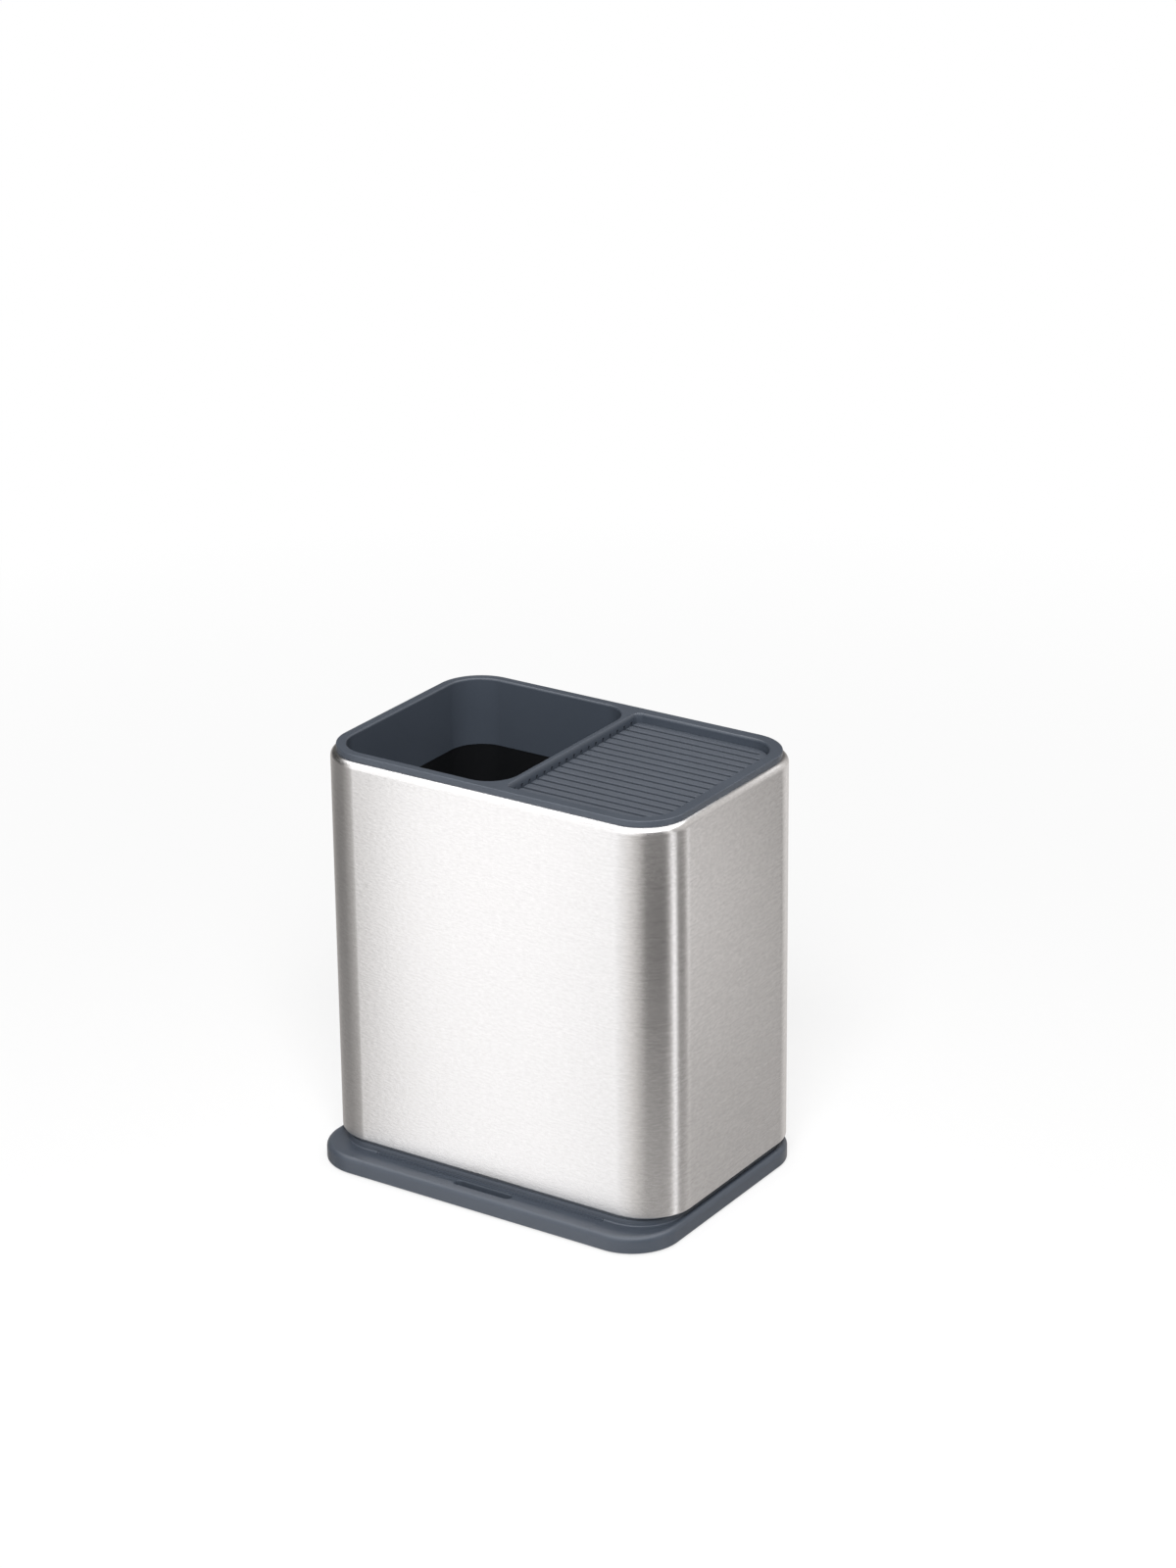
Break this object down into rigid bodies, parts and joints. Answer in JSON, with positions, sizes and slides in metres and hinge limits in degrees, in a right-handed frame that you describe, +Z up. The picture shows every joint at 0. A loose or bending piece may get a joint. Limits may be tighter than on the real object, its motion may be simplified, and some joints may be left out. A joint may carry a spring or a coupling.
{
  "type": "utensil holder",
  "caption": "Free-standing kitchen utensil holder: steel casing with an open compartment, a slotted knife panel and a drip tray that slides out of its base.",
  "frame": {"origin": "centre of the footprint, on the surface that the feet stand on", "axes": "+Z up, -Y towards the front with the drip tray's lip, +X towards the knife side"},
  "size_m": [0.1816, 0.1308, 0.1953],
  "materials": {
    "brushed_steel": "fine horizontal brushed grain",
    "slate_plastic": "satin moulded plastic",
    "black_plastic": "matt moulded plastic",
    "foot_rubber": "matt",
    "screw_steel": "bright zinc"
  },
  "bodies": {
    "casing": {"steel_casing": "brushed_steel", "inner_floor": "black_plastic", "base_collar": "slate_plastic", "base_plinth": "slate_plastic", "foot_front_left": "foot_rubber", "foot_front_right": "foot_rubber", "foot_back_left": "foot_rubber", "foot_back_right": "foot_rubber", "screw_front_left": "screw_steel", "screw_front_right": "screw_steel", "screw_back_left": "screw_steel", "screw_back_right": "screw_steel"},
    "insert": {"top_frame": "slate_plastic", "utensil_liner": "black_plastic", "knife_liner": "black_plastic"},
    "grid": {"knife_grid": "slate_plastic"},
    "tray": {"drip_tray": "slate_plastic"}
  },
  "joints": [
    {"name": "insert_lift", "type": "slide", "parent": "casing", "child": "insert", "axis": [0, 0, 1], "range_m": [0, 0.18]},
    {"name": "knife_grid_lift", "type": "slide", "parent": "insert", "child": "grid", "axis": [0, 0, 1], "range_m": [0, 0.02]},
    {"name": "tray_slide", "type": "slide", "parent": "casing", "child": "tray", "axis": [0, -1, 0], "range_m": [0, 0.125]}
  ]
}
